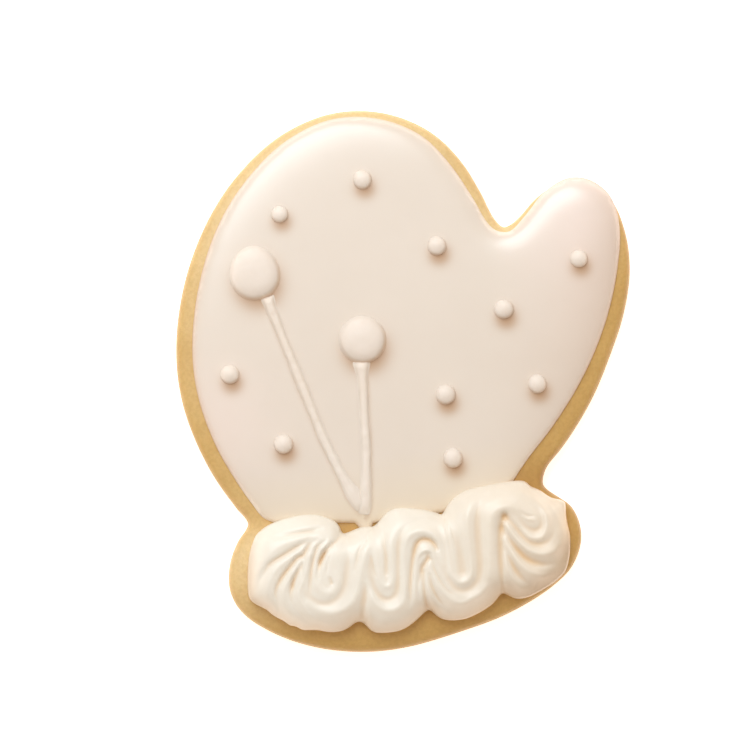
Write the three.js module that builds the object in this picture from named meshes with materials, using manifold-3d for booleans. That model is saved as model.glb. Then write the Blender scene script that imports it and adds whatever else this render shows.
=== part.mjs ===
// A mitten-shaped iced sugar cookie lying face up: a baked biscuit, flood icing over the hand and
// the thumb, a cuff piped in one zigzag rope with a star tip, two domed buttons on piped stems and a
// scatter of small dots. Millimetres, +Z up, +Y towards the fingertips, the thumb on +X. The origin
// is under the middle of the biscuit, on the plane that it lies on.

import * as THREE from "three";
import { mergeVertices } from "three/addons/utils/BufferGeometryUtils.js";
import Module from "manifold-3d";

const wasm = await Module();
wasm.setup();

// ---- Driving dimensions ----

const gap = 0.3; // air left between two pieces where one lies on the other or is cut by it

const biscuit = {
  thickness: 7,
  rimFall: 1.3, // how far the baked top sinks towards the cut edge
  rimWidth: 5, // how wide that sloping rim is
  edgeRound: 0.9,
  footRound: 0.7,
  sideSwell: 0.25, // the cut side stands this much further out at its widest
  widestAt: 0.42, // share of the thickness
  rimLoops: [0.45, 0.72, 1], // shares of the rim's width where its slope bends
  outlinePoints: 98,
  // The hand, counterclockwise from the right wrist round the thumb and the fingertips.
  hand: [
    [22.3, -20.5], [27.3, -15.4], [32.3, -9.1], [36.4, -2.2], [40.2, 5.5], [42.5, 13.5],
    [42.6, 21], [40.6, 27.6], [37.2, 30.7], [33.4, 31.5], [28.8, 30.1], [25, 27.4],
    [22.4, 25.1], [20.5, 24.7], [19.1, 26.6], [17.6, 31], [14.5, 38], [9.5, 44.2],
    [1.5, 48.7], [-8, 49.9], [-18, 47.1], [-27, 40.8], [-34, 32.6], [-39.5, 22],
    [-42.6, 10], [-42.6, -0.5], [-39.4, -12.4], [-33.8, -23.2],
  ],
  // The flared cuff, counterclockwise from the left wrist round the hem.
  cuff: [
    [-33.8, -23.2], [-37.3, -28], [-38.9, -34], [-37.5, -38.8], [-32.5, -43.5], [-25, -47.4],
    [-16.2, -49.6], [-8, -49.9], [2, -48.5], [11, -46.5], [19.4, -43], [24.6, -39],
    [26.9, -33], [25.3, -27.6], [21.3, -24], [22.3, -20.5],
  ],
};

const icing = {
  height: 2, // above the biscuit's flat top
  shoulder: 6.5, // how far in from its edge the flood reaches that height
  crown: 2.3, // exponent of the shoulder: 2 is a quarter ellipse, more is squarer
  shoulderLoops: 5,
  lip: 0.5, // height of its upright edge above the flat top
  outlinePoints: 88,
  // Round the hand and the thumb, counterclockwise from the lower right corner.
  side: [
    [15.2, -22.6], [19.1, -18.3], [24.4, -13.1], [29.3, -7.4], [33.6, -1.2], [37.4, 6],
    [40.3, 14], [41.8, 21.6], [40.9, 27.6], [37.5, 31.1], [33.6, 31.9], [28.8, 29.8],
    [24.5, 25.7], [20.6, 23.4], [18, 25.4], [16, 30], [12.3, 37.6], [7.8, 43.5],
    [0.5, 47.6], [-8, 48.7], [-17, 45.9], [-25.2, 39.8], [-31.5, 32.2], [-36.4, 22.2],
    [-39.3, 11], [-39.6, 2], [-37.6, -7.9], [-33.4, -17.8], [-30.8, -22.3],
  ],
  // The lower edge, mostly hidden by the cuff.
  hem: [
    [-30.8, -22.3], [-29.2, -23.4], [-24, -24.4], [-17, -25.2], [-10, -26.1], [-3, -26.3],
    [2, -25.9], [9, -24.9], [13, -24], [15.2, -22.6],
  ],
};

// The piped cuff as the bag made it, from its start at the left. In a turn the outer edge of the rope
// sweeps round an ellipse while the inner edge stays at a pivot: spin is 1 for a counterclockwise turn
// and -1 for a clockwise one. A rib is a single section between two turns, from the rope's left edge
// to its right one. High says how high the inner edge stands, as a share of the crown. Ridges is how
// many ridges the star tip shows across the rope, and drift how many of them have run off its edge.
const rope = {
  height: 6.2, // crown above the biscuit's flat top
  dome: 2.6, // exponent of the cross-section
  ridgeHeight: 0.5,
  grooveSharpness: 1.3, // 2 is a plain wave, 1 a pointed groove
  pivotRadius: 0.35,
  turnStep: 20, // degrees of outer edge between two sections
  runSections: 1, // sections added between two steps of the path
  acrossPoints: 16,
  seamOverlap: 0.2, // neighbouring strokes run into each other by this much
  footDepth: 1.6, // how far the rope reaches below the flat top before the rim is cut away
  path: [
    { rib: [[-19, -28.2], [-17.2, -26.8]], high: [0.5, 0], ridges: 4, drift: 0.4 },
    { rib: [[-19.4, -28.7], [-19.2, -24.5]], high: [0.6, 0], ridges: 4, drift: 0.4 },
    { spin: 1, pivot: [-20.6, -30.4], centre: [-25.5, -32.5], radii: [9.9, 9.9], sweep: [85, 150],
      high: 0.6, ridges: [4, 4], drift: [0.4, 0.8] },
    { spin: 1, pivot: [-21.8, -33], centre: [-25.5, -32.5], radii: [9.9, 9.9], sweep: [165, 205],
      high: 0.65, ridges: [4, 4], drift: [0.9, 1.2] },
    { spin: 1, pivot: [-20.4, -35.8], centre: [-20.5, -37], radii: [11, 8.2], sweep: [208, 300],
      high: 0.85, ridges: [3.8, 3], drift: [1.4, 2] },
    { rib: [[-21.3, -32.8], [-14.2, -40]], high: [0.72, 0.3], ridges: 3, drift: 2 },
    { rib: [[-20.3, -30.3], [-13.8, -37.8]], high: [0.7, 0.5], ridges: 3, drift: 2 },
    { rib: [[-18.5, -28.4], [-13.6, -36]], high: [0.5, 0.6], ridges: 3, drift: 2 },
    { spin: -1, pivot: [-13.4, -34.8], centre: [-14, -29.5], radii: [2.9, 2.6], sweep: [145, 45],
      high: 0.72, ridges: [3, 3], drift: [2, 2] },
    { rib: [[-12.1, -31.5], [-14, -39.5]], high: [0.85, 0.45], ridges: 3, drift: 2 },
    { spin: 1, pivot: [-10.3, -37], centre: [-9.2, -40.4], radii: [6.3, 6.2], sweep: [220, 325],
      high: 0.88, ridges: [3, 3], drift: [2, 2] },
    { rib: [[-12.1, -31.5], [-2.7, -38]], high: [0.85, 0.35], ridges: 3, drift: 2 },
    { spin: -1, pivot: [-1.8, -33.6], centre: [-4.6, -31], radii: [7.6, 7], sweep: [150, 40],
      high: 0.5, ridges: [3, 3], drift: [2, 2] },
    { spin: 1, pivot: [4, -36.8], centre: [3.5, -38.6], radii: [8.3, 7.6], sweep: [218, 328],
      high: 0.9, ridges: [2.8, 2.6], drift: [2, 2] },
    { spin: -1, pivot: [13.1, -28.3], centre: [10, -29], radii: [8.2, 7.1], sweep: [158, 70],
      high: 0.45, ridges: [2.6, 2.4], drift: [2, 2] },
    { spin: -1, pivot: [18.4, -29.9], centre: [16.8, -32.8], radii: [8.2, 10.9], sweep: [80, 0],
      high: 0.92, ridges: [2.4, 2.5], drift: [2.1, 2.9] },
    { spin: -1, pivot: [18.4, -29.9], centre: [16.8, -32.8], radii: [8.2, 10.9], sweep: [-12, -128],
      high: 0.92, ridges: [2.7, 4.2], drift: [3.1, 5] },
    { rib: [[11.8, -36], [15.8, -29.3]], high: [0.3, 0.85], ridges: 4.2, drift: 5 },
    { rib: [[12.5, -30.5], [13.4, -28.6]], high: [0.45, 0.5], ridges: 4.2, drift: 5 },
  ],
};

// Each stem is a line of piped icing: its route, with the half width and the height at each point.
const stems = {
  left: [
    { at: [-24.8, 19.2], half: 1.05, height: 1.1 },
    { at: [-22.6, 10], half: 0.85, height: 0.95 },
    { at: [-20.4, 1], half: 0.95, height: 1 },
    { at: [-18.4, -7], half: 0.85, height: 0.95 },
    { at: [-16, -15], half: 0.85, height: 0.95 },
    { at: [-14, -20], half: 1.1, height: 1 },
    { at: [-12.9, -23], half: 1, height: 0.9 },
  ],
  right: [
    { at: [-8.9, 4.5], half: 1.3, height: 1.2 },
    { at: [-9.1, 0], half: 0.95, height: 1 },
    { at: [-9.75, -7], half: 0.85, height: 0.95 },
    { at: [-10.25, -13], half: 0.85, height: 0.95 },
    { at: [-11, -18], half: 0.95, height: 1 },
    { at: [-11.8, -22], half: 1.1, height: 1 },
    { at: [-12.3, -24.6], half: 0.95, height: 0.8 },
  ],
};

// Buttons and dots: centre, diameters along X and Y, and height above the icing.
const buttons = {
  left: { at: [-26.1, 22.6], size: [9.2, 9.85], height: 2.2 },
  right: { at: [-8.1, 7.65], size: [8.65, 8.65], height: 2.15 },
};
const dots = [
  { at: [-4, 36.9], size: 3.5 },
  { at: [-20, 32.7], size: 3.2 },
  { at: [7.9, 22.9], size: 3.6 },
  { at: [33.5, 16.9], size: 3.3 },
  { at: [18.5, 9.6], size: 3.7 },
  { at: [-33.2, 4.7], size: 3.5 },
  { at: [5.7, -4.5], size: 3.7 },
  { at: [22.7, -4.9], size: 3.5 },
  { at: [-25.2, -9.4], size: 3.6 },
  { at: [5.4, -16.3], size: 3.6 },
];
const dotHeight = 0.42; // share of a dot's diameter that stands above the icing

const flatTop = biscuit.thickness;
const { lerp, degToRad, clamp } = THREE.MathUtils;

// ---- Outlines in plan ----

const plan = ([x, y]) => new THREE.Vector3(x, y, 0);

// A closed outline of evenly spaced points, through runs of points that meet at corners.
function outlineThrough(runs, count) {
  const curves = runs.map((run) => new THREE.CatmullRomCurve3(run.map(plan), false, "centripetal"));
  const lengths = curves.map((curve) => curve.getLength());
  const whole = lengths.reduce((sum, length) => sum + length);
  return curves.flatMap((curve, i) => {
    const steps = Math.round((count * lengths[i]) / whole);
    return curve.getSpacedPoints(steps).slice(0, steps);
  });
}

function inwardNormals(outline) {
  const count = outline.length;
  return outline.map((_, i) => {
    const along = outline[(i + 1) % count].clone().sub(outline[(i + count - 1) % count]);
    return new THREE.Vector3(-along.y, along.x, 0).normalize();
  });
}

// The radius, at each point, of the largest circle inside the outline that touches it there.
function roomInside(outline, normals) {
  const leastFacing = 0.01;
  return outline.map((point, i) => {
    let room = Infinity;
    for (const other of outline) {
      const across = other.clone().sub(point);
      const facing = across.dot(normals[i]);
      if (facing > leastFacing) room = Math.min(room, across.lengthSq() / (2 * facing));
    }
    return room;
  });
}

// A function that gives the outline moved inwards, less far where the shape is too narrow for it.
function insetter(outline) {
  const normals = inwardNormals(outline);
  const roomUsed = 0.85;
  const limits = roomInside(outline, normals).map((room) => room * roomUsed);
  return (distance) =>
    outline.map((point, i) => point.clone().addScaledVector(normals[i], Math.min(distance, limits[i])));
}

function distanceToOutline(outline, point) {
  const edge = new THREE.Line3();
  const nearest = new THREE.Vector3();
  const flat = new THREE.Vector3(point.x, point.y, 0);
  let best = Infinity;
  outline.forEach((start, i) => {
    edge.set(start, outline[(i + 1) % outline.length]);
    best = Math.min(best, edge.closestPointToPoint(flat, true, nearest).distanceTo(flat));
  });
  return best;
}

// ---- Closed meshes ----

// Joins closed loops of equal length, from the first to the last, and caps both ends.
function skin(loops, capOf) {
  const size = loops[0].length;
  const last = (loops.length - 1) * size;
  const index = [];
  for (let row = 0; row < last; row += size) {
    for (let i = 0; i < size; i++) {
      const a = row + i;
      const b = row + ((i + 1) % size);
      index.push(a, b, b + size, a, b + size, a + size);
    }
  }
  for (const [a, b, c] of capOf(loops[0])) index.push(c, b, a);
  for (const [a, b, c] of capOf(loops.at(-1))) index.push(last + a, last + b, last + c);
  const position = loops.flat().flatMap((p) => [p.x, p.y, p.z]);
  return new THREE.BufferGeometry()
    .setAttribute("position", new THREE.Float32BufferAttribute(position, 3))
    .setIndex(index);
}

const capInPlan = (loop) =>
  THREE.ShapeUtils.triangulateShape(loop.map((p) => new THREE.Vector2(p.x, p.y)), []);

// For an upright loop: across, from its last corner but one, and up.
function capUpright(loop) {
  const corner = loop.at(-2);
  const across = (p) => new THREE.Vector2(Math.hypot(p.x - corner.x, p.y - corner.y), p.z);
  return THREE.ShapeUtils.triangulateShape(loop.map(across), []);
}

function solidOf(geometry) {
  const weld = 1e-4;
  const bare = geometry.clone();
  bare.deleteAttribute("normal");
  bare.deleteAttribute("uv");
  const merged = mergeVertices(bare, weld);
  return new wasm.Manifold(
    new wasm.Mesh({
      numProp: 3,
      vertProperties: merged.attributes.position.array,
      triVerts: new Uint32Array(merged.index.array),
    }),
  );
}

function geometryOf(solid) {
  const mesh = solid.getMesh();
  const geometry = new THREE.BufferGeometry()
    .setAttribute("position", new THREE.BufferAttribute(mesh.vertProperties, 3))
    .setIndex(new THREE.BufferAttribute(mesh.triVerts, 1));
  geometry.computeVertexNormals();
  return geometry;
}

// ---- The biscuit ----

const biscuitOutline = outlineThrough([biscuit.hand, biscuit.cuff], biscuit.outlinePoints);

// Height of the baked top at a distance from the cut edge.
function biscuitTop(distance) {
  const share = clamp(distance / biscuit.rimWidth, 0, 1);
  return flatTop - biscuit.rimFall * (1 - share) ** 2;
}

// The biscuit, or with grow a larger copy that cuts what lies on it.
function biscuitSolid(grow = 0) {
  const { thickness, rimWidth, rimLoops, edgeRound, footRound, sideSwell, widestAt } = biscuit;
  const inset = insetter(biscuitOutline);
  const level = (distance, z) => inset(distance - grow).map((p) => p.setZ(z + grow));
  const brow = biscuitTop(edgeRound);
  const foot = inset(footRound + sideSwell - grow).map((p) => p.setZ(-grow));
  const side = [
    level(sideSwell, footRound),
    level(0, thickness * widestAt),
    level(sideSwell / 2, brow - edgeRound),
    level(edgeRound / 3, brow - edgeRound / 3),
  ];
  const rimSteps = [edgeRound, ...rimLoops.map((share) => share * rimWidth)];
  const rim = rimSteps.map((distance) => level(distance, biscuitTop(distance)));
  return solidOf(skin([foot, ...side, ...rim], capInPlan));
}

// ---- The flood icing ----

const icingOutline = outlineThrough([icing.side, icing.hem], icing.outlinePoints);

// Height of the icing above the flat top at a distance from its edge.
function icingRise(distance) {
  const share = 1 - clamp(distance / icing.shoulder, 0, 1);
  return Math.max(icing.height * (1 - share ** icing.crown) ** (1 / icing.crown), icing.lip);
}

// The flood, or with grow a larger copy. Its underside follows the biscuit's sloping rim.
function icingSolid(grow = 0) {
  const { shoulder, crown, shoulderLoops } = icing;
  const inset = insetter(icingOutline);
  const rest = grow > 0 ? -biscuit.rimFall : gap;
  const onBiscuit = (p) => p.setZ(biscuitTop(distanceToOutline(biscuitOutline, p)) + rest);
  const under = [biscuit.rimWidth, biscuit.rimWidth / 2, 0].map((d) => inset(d - grow).map(onBiscuit));
  const over = Array.from({ length: shoulderLoops + 1 }, (_, k) => {
    const distance = shoulder * (1 - Math.cos((k / shoulderLoops) * (Math.PI / 2)) ** (2 / crown));
    return inset(distance - grow).map((p) => p.setZ(flatTop + icingRise(distance) + grow));
  });
  return solidOf(skin([...under, ...over], capInPlan));
}

// Height of the finished top surface under a piece that lies on the icing.
const icingTop = (point) => flatTop + icingRise(distanceToOutline(icingOutline, point));

// ---- The piped cuff ----

function ribSection({ rib, high, ridges, drift }) {
  const [left, right] = rib.map((end, i) => plan(end).setZ(high[i]));
  return { left, right, ridges, drift };
}

function turnSections({ spin, pivot, centre, radii, sweep, high, ridges, drift }) {
  const steps = 2 * Math.ceil(Math.abs(sweep[1] - sweep[0]) / rope.turnStep / 2);
  return Array.from({ length: steps + 1 }, (_, k) => {
    const share = k / steps;
    const angle = degToRad(lerp(sweep[0], sweep[1], share));
    const outer = plan([centre[0] + radii[0] * Math.cos(angle), centre[1] + radii[1] * Math.sin(angle)]);
    const inner = outer.clone().sub(plan(pivot)).setLength(rope.pivotRadius).add(plan(pivot)).setZ(high);
    const [left, right] = spin > 0 ? [inner, outer] : [outer, inner];
    return { left, right, ridges: lerp(...ridges, share), drift: lerp(...drift, share) };
  });
}

function between(before, after, share) {
  return {
    left: before.left.clone().lerp(after.left, share),
    right: before.right.clone().lerp(after.right, share),
    ridges: lerp(before.ridges, after.ridges, share),
    drift: lerp(before.drift, after.drift, share),
  };
}

// The whole rope as strokes, each running from the middle of one turn to the middle of the next.
function ropeStrokes() {
  const strokes = [[]];
  for (const step of rope.path) {
    const sections = step.rib ? [ribSection(step)] : turnSections(step);
    const stroke = strokes.at(-1);
    if (stroke.length) {
      const before = stroke.at(-1);
      for (let k = 1; k <= rope.runSections; k++) {
        stroke.push(between(before, sections[0], k / (rope.runSections + 1)));
      }
    }
    if (step.rib) {
      stroke.push(...sections);
    } else {
      const middle = (sections.length - 1) / 2;
      stroke.push(...sections.slice(0, middle + 1));
      strokes.push(sections.slice(middle));
    }
  }
  return strokes;
}

// The star tip's ridges: -1 in a groove, at every whole number, and 1 on a crest.
const ridgeWave = (count) => 1 - 2 * Math.abs(Math.cos(Math.PI * (count + 0.5))) ** rope.grooveSharpness;

// A section's closed loop: over the ridged crown from left to right, and back under it.
function ropeLoop({ left, right, ridges, drift }) {
  const { height, dome, ridgeHeight, acrossPoints, seamOverlap, footDepth } = rope;
  const widen = right.clone().sub(left).setZ(0).setLength(seamOverlap);
  const from = left.clone().sub(widen);
  const to = right.clone().add(widen);
  const crown = Array.from({ length: acrossPoints + 1 }, (_, k) => {
    const t = k / acrossPoints;
    const arch = (1 - Math.abs(2 * t - 1) ** dome) ** (1 / dome);
    const rise = height * lerp(lerp(left.z, right.z, t), 1, arch);
    const ridge = ridgeHeight * ridgeWave(ridges * t - drift) * arch;
    return from.clone().lerp(to, t).setZ(flatTop + rise + ridge);
  });
  return [...crown, to.setZ(flatTop - footDepth), from.setZ(flatTop - footDepth)];
}

function ropeSolid() {
  const strokes = ropeStrokes().map((stroke) => solidOf(skin(stroke.map(ropeLoop), capUpright)));
  return strokes.reduce((whole, stroke) => whole.add(stroke));
}

// ---- Buttons, dots and stems ----

// A dome of piped icing, widest a little above the surface that it sits on.
function domeSolid({ at, size, height }, { widestAt, facets }, grow = 0) {
  const [sizeX, sizeY] = size;
  const waist = height * widestAt;
  const dome = new THREE.SphereGeometry(1, facets, facets / 2);
  dome.rotateX(Math.PI / 2);
  dome.scale(sizeX / 2 + grow, sizeY / 2 + grow, height - waist + grow);
  dome.translate(at[0], at[1], icingTop(plan(at)) + waist);
  return solidOf(dome);
}

const buttonForm = { widestAt: 0.36, facets: 24 };
const dotForm = { widestAt: 0.3, facets: 12 };

// How every stem is made up along its route and round its back.
const stemForm = {
  steps: 16,
  facets: 6,
  endSteps: 2, // steps that draw in at each end
  endShare: 0.55, // width and height left at the very end
  lift: 0.1, // the rounded back starts this far above the icing
  root: 1, // how far the foot reaches below the flat top before the icing is cut away
};

// A line of piped icing: a round-backed section carried along its route, with rounded ends.
function stemSolid(points, grow = 0) {
  const { steps, facets, endSteps, endShare, lift, root } = stemForm;
  const route = new THREE.CatmullRomCurve3(points.map(({ at }) => plan(at)), false, "centripetal");
  const loops = Array.from({ length: steps + 1 }, (_, i) => {
    const share = i / steps;
    const place = share * (points.length - 1);
    const before = points[Math.floor(place)];
    const after = points[Math.ceil(place)];
    const toEnd = Math.min(i / endSteps, (steps - i) / endSteps, 1);
    const drawnIn = lerp(endShare, 1, Math.sin((toEnd * Math.PI) / 2));
    const half = lerp(before.half, after.half, place % 1) * drawnIn + grow;
    const height = lerp(before.height, after.height, place % 1) * drawnIn + grow;
    const middle = route.getPoint(share);
    const along = route.getTangent(share);
    const across = new THREE.Vector3(along.y, -along.x, 0);
    const base = icingTop(middle) + lift;
    const back = Array.from({ length: facets + 1 }, (_, k) => {
      const angle = Math.PI * (1 - k / facets);
      const p = middle.clone().addScaledVector(across, half * Math.cos(angle));
      return p.setZ(base + height * Math.sin(angle));
    });
    const foot = (side) => middle.clone().addScaledVector(across, side * half).setZ(flatTop - root);
    return [...back, foot(1), foot(-1)];
  });
  return solidOf(skin(loops, capUpright));
}

// ---- The parts ----

const cookie = new THREE.Group();
cookie.name = "cookie";

function addPart(name, solid, color, roughness) {
  const material = new THREE.MeshStandardMaterial({ color, roughness, metalness: 0 });
  const mesh = new THREE.Mesh(geometryOf(solid), material);
  mesh.name = name;
  cookie.add(mesh);
}

const crust = ["#d6ac68", 0.85];
const flood = ["#efe1d1", 0.4];
const stiffIcing = ["#f2e6d6", 0.5];
const pipedIcing = ["#f4eadd", 0.42];

const underIcing = icingSolid(gap);
const underPieces = underIcing.add(biscuitSolid(gap));

addPart("biscuit", biscuitSolid(), ...crust);
addPart("flood_icing", icingSolid(), ...flood);

const stemRight = stemSolid(stems.right);
const aroundStemRight = stemSolid(stems.right, gap);
addPart("piped_cuff", ropeSolid().subtract(underPieces).subtract(aroundStemRight), ...stiffIcing);

for (const [side, button] of Object.entries(buttons)) {
  addPart(`button_${side}`, domeSolid(button, buttonForm).subtract(underIcing), ...pipedIcing);
}

const aroundButtons = Object.values(buttons)
  .map((button) => domeSolid(button, buttonForm, gap))
  .reduce((whole, dome) => whole.add(dome));
const clearOfButtons = (stem) => stem.subtract(underPieces).subtract(aroundButtons);
addPart("stem_right", clearOfButtons(stemRight), ...pipedIcing);
addPart("stem_left", clearOfButtons(stemSolid(stems.left)).subtract(aroundStemRight), ...pipedIcing);

dots.forEach(({ at, size }, i) => {
  const dot = domeSolid({ at, size: [size, size], height: size * dotHeight }, dotForm);
  addPart(`dot_${String(i + 1).padStart(2, "0")}`, dot.subtract(underIcing), ...pipedIcing);
});

export default cookie;
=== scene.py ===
# The mitten cookie's looks: baked biscuit, flood icing, the ruffled cuff, buttons, dots and stems.
# Sizes are in millimetres here, and turned into metres when a thing is made.
import math

import bpy
import numpy as np
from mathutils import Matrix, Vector, geometry, noise


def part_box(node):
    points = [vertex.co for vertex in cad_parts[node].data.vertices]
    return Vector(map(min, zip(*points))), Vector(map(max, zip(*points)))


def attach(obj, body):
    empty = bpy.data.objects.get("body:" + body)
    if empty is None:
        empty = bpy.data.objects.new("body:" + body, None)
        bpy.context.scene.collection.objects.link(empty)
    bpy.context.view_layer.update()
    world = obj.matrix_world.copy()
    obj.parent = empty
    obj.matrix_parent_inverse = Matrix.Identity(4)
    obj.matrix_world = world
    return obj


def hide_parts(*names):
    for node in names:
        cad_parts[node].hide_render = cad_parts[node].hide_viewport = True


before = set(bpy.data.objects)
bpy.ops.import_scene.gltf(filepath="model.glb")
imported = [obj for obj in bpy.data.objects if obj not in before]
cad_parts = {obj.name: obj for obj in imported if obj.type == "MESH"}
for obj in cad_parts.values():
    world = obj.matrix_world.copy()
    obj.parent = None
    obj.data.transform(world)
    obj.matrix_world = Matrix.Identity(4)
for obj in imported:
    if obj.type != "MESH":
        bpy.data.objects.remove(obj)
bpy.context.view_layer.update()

mm = 0.001
rng = np.random.default_rng(11)
flatTop = np.array(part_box("biscuit"))[1, 2] / mm  # the biscuit's baked top


# Outlines in plan.

# The ring of a node's corners at one height, in order, counterclockwise seen from above.
def ringAt(node, height, tolerance=0.02):
    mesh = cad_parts[node].data
    corners = np.array([v.co for v in mesh.vertices]) / mm
    keys = [tuple(np.round(c, 2)) for c in corners]
    neighbours = {}
    for edge in mesh.edges:
        a, b = (keys[i] for i in edge.vertices)
        if a != b and abs(a[2] - height) < tolerance and abs(b[2] - height) < tolerance:
            neighbours.setdefault(a, set()).add(b)
            neighbours.setdefault(b, set()).add(a)
    first = min(neighbours)
    ring, before = [first], None
    while True:
        following = [k for k in neighbours[ring[-1]] if k != before and k not in ring[1:]]
        following = [k for k in following if k != first or len(ring) > 2]
        if not following or following[0] == first:
            break
        before = ring[-1]
        ring.append(min(following, key=lambda k: math.dist(k, before)))
    ring = np.array(ring)[:, :2]
    x, y = ring.T
    area = np.sum(x * np.roll(y, -1) - y * np.roll(x, -1))
    return ring if area > 0 else ring[::-1]


# Rounds a closed ring by placing new points between the old ones on a smooth curve, and spaces it evenly.
def roundedRing(ring, spacing, passes=3):
    for _ in range(passes):
        after = np.roll(ring, -1, 0)
        between = (9 * (ring + after) - np.roll(ring, 1, 0) - np.roll(ring, -2, 0)) / 16
        ring = np.stack([ring, between], 1).reshape(-1, 2)
    step = np.linalg.norm(np.roll(ring, -1, 0) - ring, axis=1)
    along = np.concatenate([[0], np.cumsum(step)])
    places = np.linspace(0, along[-1], int(along[-1] / spacing), endpoint=False)
    closed = np.vstack([ring, ring[:1]])
    return np.stack([np.interp(places, along, closed[:, k]) for k in range(2)], 1)


def inwards(ring):
    along = np.roll(ring, -1, 0) - np.roll(ring, 1, 0)
    normal = np.stack([-along[:, 1], along[:, 0]], 1)
    return normal / np.linalg.norm(normal, axis=1, keepdims=True)


def distanceTo(ring, points, batches=60):
    nearest = [
        np.sqrt(((part[:, None] - ring[None]) ** 2).sum(2).min(1))
        for part in np.array_split(points, batches)
    ]
    return np.concatenate(nearest)


def isInside(ring, points):
    inside = np.zeros(len(points), bool)
    x, y = points.T
    for (x0, y0), (x1, y1) in zip(ring, np.roll(ring, -1, 0)):
        if y0 != y1:
            inside ^= ((y0 > y) != (y1 > y)) & (x < (x1 - x0) * (y - y0) / (y1 - y0) + x0)
    return inside


# Fills a ring with nearly even triangles. The ring's own points come first.
def filledRing(ring, spacing):
    clearance = spacing * 0.6
    tolerance = 1e-6
    low, high = ring.min(0), ring.max(0)
    rows = np.arange(low[1], high[1], spacing * math.sqrt(3) / 2)
    columns = np.arange(low[0], high[0], spacing)
    grid = np.array([(x + (row % 2) * spacing / 2, y) for row, y in enumerate(rows) for x in columns])
    grid = grid[isInside(ring, grid)]
    grid = grid[distanceTo(ring, grid) > clearance]
    points = np.vstack([ring, grid])
    filled = geometry.delaunay_2d_cdt(
        [Vector(p) for p in points], [], [list(range(len(ring)))], 1, tolerance, True
    )
    order = [origins[0] for origins in filled[3]]
    faces = np.array([[order[i] for i in face] for face in filled[2]])
    return points, faces[isInside(ring, points[faces].mean(1))]


# An open line through points, smooth and evenly spaced. Further columns, such as a width, follow along.
def smoothLine(keys, spacing, stepsBetween=12):
    keys = np.array(keys, float)
    padded = np.vstack([2 * keys[0] - keys[1], keys, 2 * keys[-1] - keys[-2]])
    p0, p1, p2, p3 = padded[:-3], padded[1:-2], padded[2:-1], padded[3:]
    curve = [
        p1 + 0.5 * t * (p2 - p0 + t * (2 * p0 - 5 * p1 + 4 * p2 - p3 + t * (3 * (p1 - p2) + p3 - p0)))
        for t in np.linspace(0, 1, stepsBetween, endpoint=False)
    ]
    curve = np.vstack([np.stack(curve, 1).reshape(-1, keys.shape[1]), keys[-1:]])
    along = np.concatenate([[0], np.cumsum(np.linalg.norm(np.diff(curve[:, :2], axis=0), axis=1))])
    places = np.linspace(0, along[-1], max(2, int(along[-1] / spacing)))
    return np.stack([np.interp(places, along, column) for column in curve.T], 1)


# How a value is shared out over a surface.

# Rises evenly from 0 at start to 1 at end, or falls where end is the smaller.
def eased(values, start, end):
    return np.clip((values - start) / (end - start), 0, 1)


# A soft bell: 1 where values are 0, fading over the width.
def bell(values, width, sharpness=2):
    return np.exp(-(np.abs(values) / width) ** sharpness)


# A soft round spot in plan.
def spot(points, at, width):
    return bell(np.linalg.norm(points[:, :2] - at, axis=1), width)


# Soft noise at points. Its scale is per millimetre.
def softNoise(points, scale, seed):
    shift = Vector([seed * step for step in (17.3, 5.1, 9.7)])  # so that no two seeds share a cloud
    return np.array([noise.noise(Vector(p) * scale + shift) for p in points])


def edgePairs(faces):
    return np.vstack([faces[:, [0, 1]], faces[:, [1, 2]], faces[:, [2, 0]]])


# A function that gives each corner the mean of its neighbours' values.
def neighbourMean(pairs, count):
    a, b = np.vstack([pairs, pairs[:, ::-1]]).T
    neighbours = np.bincount(a, minlength=count)
    return lambda values: np.bincount(a, weights=values[b], minlength=count) / neighbours


# Making pieces.

def makePiece(name, corners, faces, finish, node):
    mesh = bpy.data.meshes.new(name)
    mesh.from_pydata((np.asarray(corners) * mm).tolist(), [], [list(map(int, f)) for f in faces])
    piece = bpy.data.objects.new(name, mesh)
    bpy.context.scene.collection.objects.link(piece)
    mesh.shade_smooth()
    mesh.materials.append(finish)
    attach(piece, "root")
    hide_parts(node)
    return piece


def addTint(piece, name, values):
    tint = piece.data.attributes.new(name, "FLOAT", "POINT")
    tint.data.foreach_set("value", np.asarray(values, np.float32))


# The place or the normal of each corner.
def readCorners(piece, attribute):
    flat = np.zeros(len(piece.data.vertices) * 3, np.float32)
    piece.data.vertices.foreach_get(attribute, flat)
    return flat.reshape(-1, 3)


def withHeight(plan, heights):
    return np.column_stack([plan, np.broadcast_to(heights, len(plan))])


# Faces between rings of equal length that follow each other in the list of corners.
def ringFaces(first, size, rings):
    i = np.arange(size)
    after = (i + 1) % size
    rows = first + size * np.arange(rings - 1)[:, None]
    quads = np.stack([rows + i, rows + after, rows + size + after, rows + size + i], 2)
    return quads.reshape(-1, 4).tolist()


# A closed shape: a filled underside, rings of one length up its side and a filled top.
def closedShape(under, underFaces, rings, top, topFaces):
    size = len(rings[0])
    sideStart = len(under)
    topStart = sideStart + size * len(rings)
    faces = underFaces[:, ::-1].tolist() + (topFaces + topStart).tolist()
    faces += ringFaces(sideStart, size, len(rings) + 1)
    faces += [[i, (i + 1) % size, sideStart + (i + 1) % size, sideStart + i] for i in range(size)]
    return np.vstack([under, *rings, top]), faces


# Finishes.

def newFinish(name, surface):
    finish = bpy.data.materials.new(name)
    finish.use_nodes = True
    shader = finish.node_tree.nodes["Principled BSDF"]
    for socket, value in surface.items():
        shader.inputs[socket].default_value = value
    return finish, finish.node_tree, shader


def addNode(tree, kind, **settings):
    node = tree.nodes.new(kind)
    for key, value in settings.items():
        if key in node.inputs:
            node.inputs[key].default_value = value
        else:
            setattr(node, key, value)
    return node


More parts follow.
